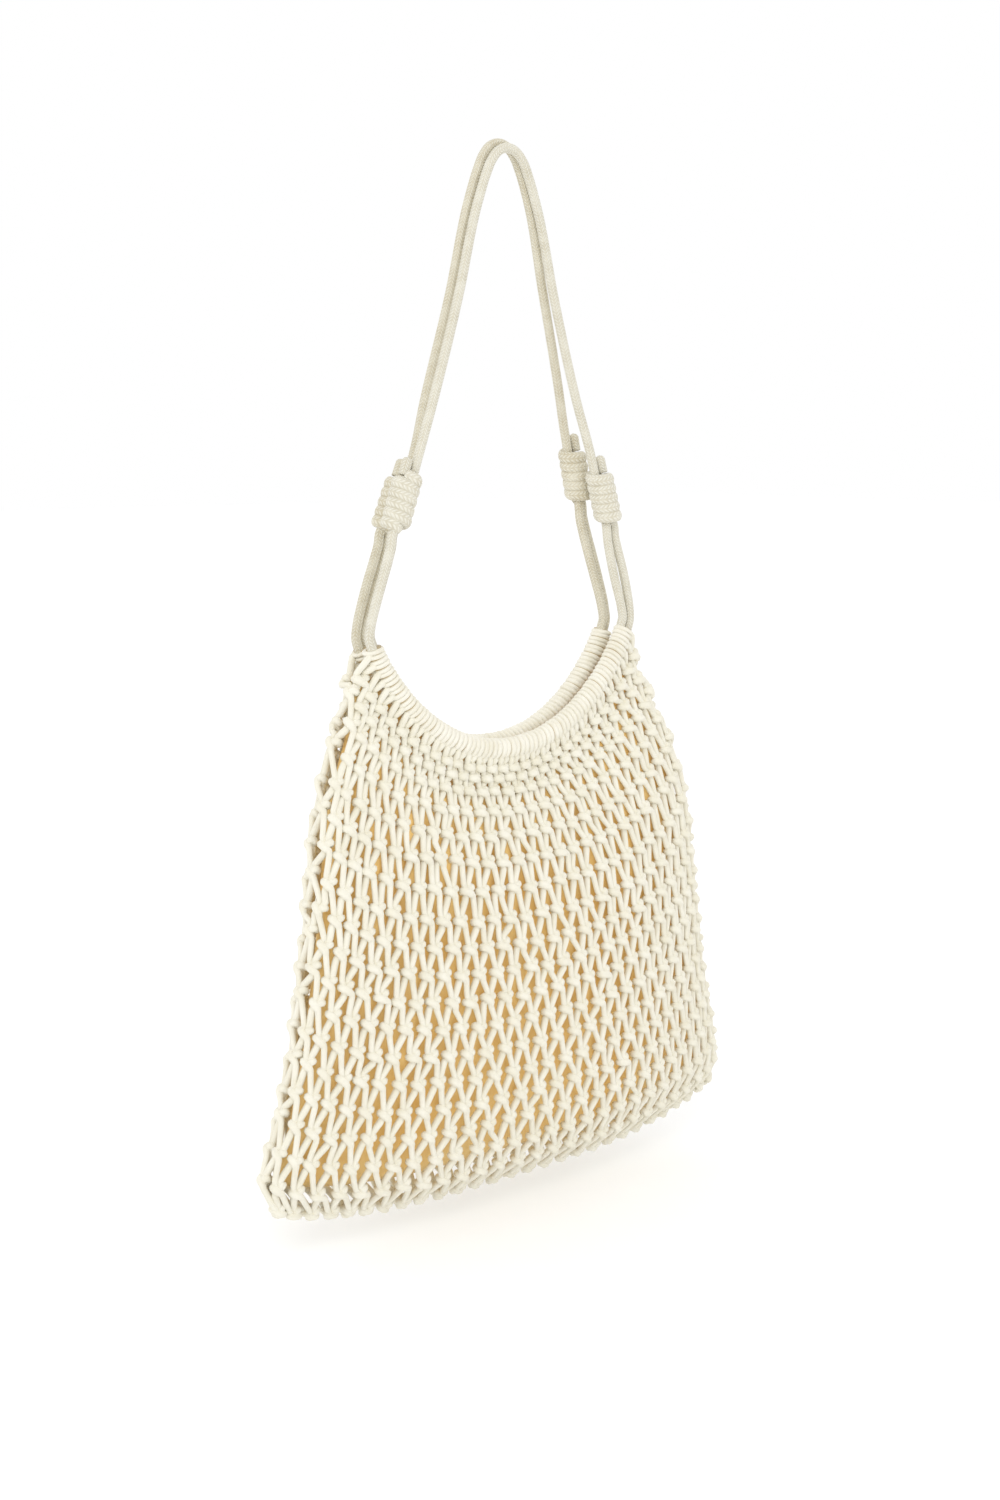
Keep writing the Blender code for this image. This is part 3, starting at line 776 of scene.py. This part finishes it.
def add_rims():
    """Wrapped edges: turns of cord in pairs round a rope core, coloured dark tan as painted shade between
    the turns.
    """
    length = mouth_line(0.0)[0][-1]
    phi = 2 * math.pi * np.arange(WRAP_AROUND) / WRAP_AROUND
    psi = 2 * math.pi * np.arange(WRAP_SIDES) / WRAP_SIDES
    low = np.clip(np.cos(phi), 0.0, 1.0)
    s = (2 * np.arange(RIM_GROUPS) + 1) / RIM_GROUPS - 1
    group = 0.5 + 0.5 * s * (1 + RIM_WIDENING * (1 - s * s))
    pitch = length / RIM_GROUPS * (1 + RIM_WIDENING * (1 - 3 * s * s))
    middles = np.stack([group - 0.235 * pitch / length, group + 0.235 * pitch / length], axis=1)
    pull = np.tile([1.0, -1.0], RIM_GROUPS)
    pitch = np.repeat(pitch, 2)
    for side, word in ((-1.0, "front"), (1.0, "back")):
        e = middles.ravel() + RNG.normal(0.0, 0.0001, 2 * RIM_GROUPS) / length
        middle, tangent, away, out = rim_frame(e, side)
        ring = 5.2 * MM + RNG.normal(0.0, 0.1 * MM, e.shape)
        half = 0.255 * pitch * RNG.normal(1.0, 0.03, e.shape)
        ray = away[:, None] * np.cos(phi)[:, None] + out[:, None] * np.sin(phi)[:, None]
        reach = ring[:, None, None] + 1.75 * MM * np.cos(psi)
        reach = reach + 0.4 * MM * low[None, :, None]
        narrow = 1 - 0.12 * low
        shift = half[:, None, None] * np.sin(psi) * narrow[None, :, None]
        shift = shift + 0.7 * MM * side * np.cos(phi)[None, :, None]
        shift = shift + (0.03 * pitch * pull)[:, None, None] * low[None, :, None]
        verts = (middle[:, None, None] + ray[:, :, None] * reach[..., None]
                 + tangent[:, None, None] * shift[..., None])
        faces, uvs = [], []
        for r in range(len(e)):
            base = r * WRAP_AROUND * WRAP_SIDES
            for i in range(WRAP_AROUND):
                here, there = base + i * WRAP_SIDES, base + (i + 1) % WRAP_AROUND * WRAP_SIDES
                for p in range(WRAP_SIDES):
                    p2 = (p + 1) % WRAP_SIDES
                    quad = [here + p, there + p, there + p2, here + p2]
                    faces.append(quad if side < 0 else quad[::-1])
                    uvs.extend([(p / WRAP_SIDES, i / WRAP_AROUND)] * 4)
        piece = make_mesh(f"rim_wraps_{word}", verts.reshape(-1, 3), faces, uvs, RIM_COTTON)
        dress(piece, f"rim_{word}")
        line = rim_line(np.linspace(0.0, 1.0, 90), side)
        # The dark core shows between the pairs of turns as painted shade
        dress(sweep(f"rim_core_painted_shade_{word}", line[None], 5.5 * MM, 20, CORE_SHADE), None)


# Ropes

def knot_frame(corner):
    """Middle, axis and outward direction of a coil knot, leaning along its rope."""
    x = corner.across * KNOT_HALF_SPREAD * corner.spread
    middle = np.array([x, corner.depth * KNOT_HALF_GAP, -corner.drop])
    axis = unit(np.array([-corner.across * KNOT_LEAN * corner.lean, 0.0, 1.0]))
    return middle, axis, square_to(np.array([float(corner.across), 0.0, 0.0]), axis)


def spaced(points, step):
    """Points on a smooth curve through a route, evenly spaced."""
    points = np.asarray(points, float)
    run = np.concatenate([[0.0], np.cumsum(np.linalg.norm(np.diff(points, axis=0), axis=1))])
    spots = np.linspace(0.0, run[-1], int(run[-1] / step))
    return np.column_stack([smooth_table(np.column_stack([run, points[:, k]]), spots)
                            for k in range(3)])


def handle_half(corner):
    """Route of half a handle, from its top into its coil knot."""
    top_gap = ROPE_RADIUS + GAP / 2
    top_x = -corner.depth * HANDLE_TOP_SHIFT
    top_z = ROPE_RADIUS + corner.depth * HANDLE_TOP_STEP
    middle, axis, outwards = knot_frame(corner)
    points = []
    for share_x, share_z in HANDLE_ROUTE:
        spread = share_z ** HANDLE_SPREADING
        even_x = top_x + corner.across * KNOT_HALF_SPREAD
        x = top_x + (even_x - top_x) * share_x + (middle[0] - even_x) * spread
        y = corner.depth * (top_gap + (KNOT_HALF_GAP - top_gap) * spread)
        points.append(np.array([x, y, top_z - (corner.drop + top_z) * share_z]))
    seat = middle + axis * (KNOT_HEIGHT / 2 + GAP) - outwards * (ROPE_RADIUS + GAP)
    return points + [seat + axis * HANDLE_STRAIGHT, seat, seat - axis * TUCK]


def add_rope(name, route, node, material):
    """One braided rope along a route."""
    path = spaced(route, 0.0016)
    dress(sweep(name, path[None], ROPE_RADIUS, 16, material), node)


def add_handles():
    """Front and back handle, each from knot to knot."""
    # The back handle takes the darker braid copy, as painted shade
    for word, material in (("front", FRONT_BRAID), ("back", SHADED_BACK_BRAID)):
        left = handle_half(CORNERS[f"{word}_left"])
        right = handle_half(CORNERS[f"{word}_right"])
        add_rope(f"handle_rope_{word}", left[::-1] + right[1:], f"handle_{word}", material)


def add_coil(name, corner, material):
    """Coil knot: turns of rope round the doubled rope, with its end standing out on top."""
    middle, axis, outwards = knot_frame(corner)
    forward = np.cross(axis, outwards)
    t = np.linspace(0.0, 1.0, 190)
    angle = 2 * math.pi * (KNOT_TURNS + 0.2) * t + 0.6
    z = KNOT_HEIGHT / 2 - 4.0 * MM - (KNOT_HEIGHT - 8.0 * MM) * t
    tuck = smooth_step(t / 0.05) * smooth_step((1 - t) / 0.05)
    radius = 3.4 * MM + 3.0 * MM * tuck
    ray = outwards * np.cos(angle)[:, None] + forward * np.sin(angle)[:, None]
    path = middle + axis * z[:, None] + ray * radius[:, None]
    coil = sweep(f"coil_{name}", path[None], 2.9 * MM, 16, material, ray[None], 4.15 * MM)
    dress(coil, f"knot_{name}")
    base = middle + axis * (KNOT_HEIGHT / 2 - 0.004) + outwards * (ROPE_RADIUS + 0.0006)
    heights = np.linspace(0.0, ROPE_END_HEIGHT + 0.004, 14)
    dome = ROPE_RADIUS * 1.1
    inner = np.clip(1 - (heights[-1] - heights) / dome, 0.0, 1.0)
    radii = dome * np.sqrt(np.clip(1 - inner ** 2, 0.0004, 1.0))
    tip = sweep(f"rope_tip_{name}", (base + axis * heights[:, None])[None], radii[None], 16,
                material)
    dress(tip, f"rope_end_{name}")


def add_legs(name, corner, material):
    """Two ropes from a coil knot down into the end of the wrapped edge."""
    middle_of_rim, tangent, _, _ = rim_frame(1.0 if corner.across > 0 else 0.0, corner.depth)
    up = tangent * corner.across
    middle, axis, _ = knot_frame(corner)
    hang = unit(np.array([0.0, 0.0, 1.0]) * (1 - LEG_LEAN) + axis * LEG_LEAN)
    start = middle_of_rim + up * FACET_GAP
    tilt_gap = ROPE_RADIUS * np.linalg.norm(np.cross(axis, hang))
    end = middle - axis * (KNOT_HEIGHT / 2 + FACET_GAP + tilt_gap)
    low, high = start + up * LEG_STRAIGHT, end - hang * LEG_STRAIGHT
    swing = np.linalg.norm(high - low) * LEG_SWING
    angle = math.radians(corner.turn)
    beside = np.array([math.cos(angle), math.sin(angle), 0.0])
    low_side = square_to(beside, up) * (ROPE_RADIUS + GAP)
    high_side = square_to(beside, axis) * (ROPE_RADIUS + GAP)
    for word, way in (("inner", -corner.across), ("outer", corner.across)):
        points = [start - up * TUCK + low_side * way * 0.8, start + low_side * way]
        for t in np.linspace(0.0, 1.0, LEG_POINTS):
            along = low * (1 + 2 * t) * (1 - t) ** 2 + up * swing * t * (1 - t) ** 2
            along = along + high * t * t * (3 - 2 * t) + hang * swing * t * t * (t - 1)
            bow = 1 + LEG_BOW / ROPE_RADIUS * math.sin(math.pi * t) ** 2
            points.append(along + (low_side * (1 - t) + high_side * t) * way * bow)
        points.append(end + high_side * way)
        points.append(end + axis * TUCK + high_side * way * 0.8)
        add_rope(f"leg_rope_{name}_{word}", points, f"leg_{name}_{word}", material)


# Lining

def add_lining():
    """Cloth pouch inside the net, with soft folds down from the mouth."""
    e = np.linspace(0.0, 1.0, LINING_COLUMNS + 1)
    verts, faces, uvs = [], [], []
    for side in (-1.0, 1.0):
        base = len(verts)
        for j in range(LINING_ROWS + 1):
            v = j / LINING_ROWS
            v = v + LINING_DIP * (1 - v) * np.abs(2 * e - 1) ** 8
            points = body_point(e, 2 * e - 1, v, side, LINING, even_rows)
            fold = np.sin(e * 74 + side + 1.1 * np.sin(v * 5 + e * 9))
            fold = fold + 0.6 * np.sin(e * 131 + 2 * v + side * 2)
            calm = smooth_step(v / 0.25) * smooth_step((1 - v) / 0.12)
            calm = calm * smooth_step(np.minimum(e, 1 - e) / 0.06)
            points[:, 1] += side * fold * calm * 1.1 * MM
            verts.extend(points.tolist())
        for j in range(LINING_ROWS):
            for i in range(LINING_COLUMNS):
                a = base + j * (LINING_COLUMNS + 1) + i
                quad = [a, a + LINING_COLUMNS + 1, a + LINING_COLUMNS + 2, a + 1]
                faces.append(quad if side < 0 else quad[::-1])
                uvs.extend([(i / LINING_COLUMNS, j / LINING_ROWS)] * 4)
    piece = make_mesh("lining_cloth", np.array(verts), faces, uvs, GLOWING_LINING_COTTON)
    bpy.context.view_layer.objects.active = piece
    piece.select_set(True)
    weld = piece.modifiers.new("seams", "WELD")
    weld.merge_threshold = 0.0002
    wall = piece.modifiers.new("cloth", "SOLIDIFY")
    wall.thickness = LINING_WALL
    wall.offset = 0.0
    bpy.ops.object.modifier_apply(modifier="seams")
    bpy.ops.object.modifier_apply(modifier="cloth")
    dress(piece, "lining")


add_net()
add_rims()
add_handles()
for corner_name, corner in CORNERS.items():
    # Back knots and legs take the darker braid copy, as painted shade
    braid = FRONT_BRAID if corner.depth < 0 else SHADED_BACK_BRAID
    add_coil(corner_name, corner, braid)
    add_legs(corner_name, corner, braid)
add_lining()
